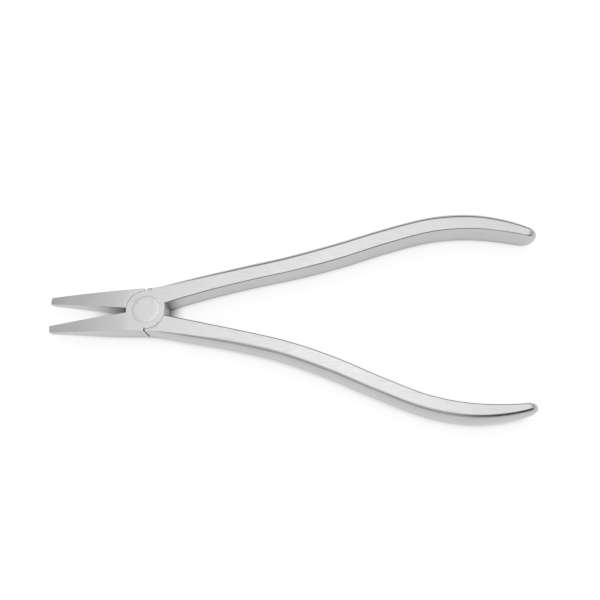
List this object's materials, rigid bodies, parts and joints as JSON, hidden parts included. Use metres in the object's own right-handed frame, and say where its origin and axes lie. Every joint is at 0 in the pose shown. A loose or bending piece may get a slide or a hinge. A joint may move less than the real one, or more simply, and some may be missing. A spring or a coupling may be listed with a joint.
{
  "type": "flat-nose pliers",
  "caption": "All-steel long-handled pliers with smooth flat tapered jaws on a riveted lap joint, for gripping, bending and flattening wire, beads and fittings.",
  "frame": {"origin": "centre of the joint's back face, on the pivot axis", "axes": "+X towards the handle ends, -X towards the jaw tips; +Y from the lower handle towards the upper handle; +Z along the pivot axis from the back lap to the front lap"},
  "size_m": [0.169, 0.073, 0.0111],
  "materials": {
    "forged_steel": "satin, finely polished stainless steel",
    "rivet_steel": "satin, ground flush"
  },
  "bodies": {
    "lower_jaw_half": {"lower_jaw_half": "forged_steel", "rivet": "rivet_steel"},
    "upper_jaw_half": {"upper_jaw_half": "forged_steel"}
  },
  "joints": [
    {"name": "pivot", "type": "hinge", "parent": "lower_jaw_half", "child": "upper_jaw_half", "pos_m": [0, 0, 0.00425], "axis": [0, 0, 1], "range_deg": [-3.1, 12.7]}
  ]
}
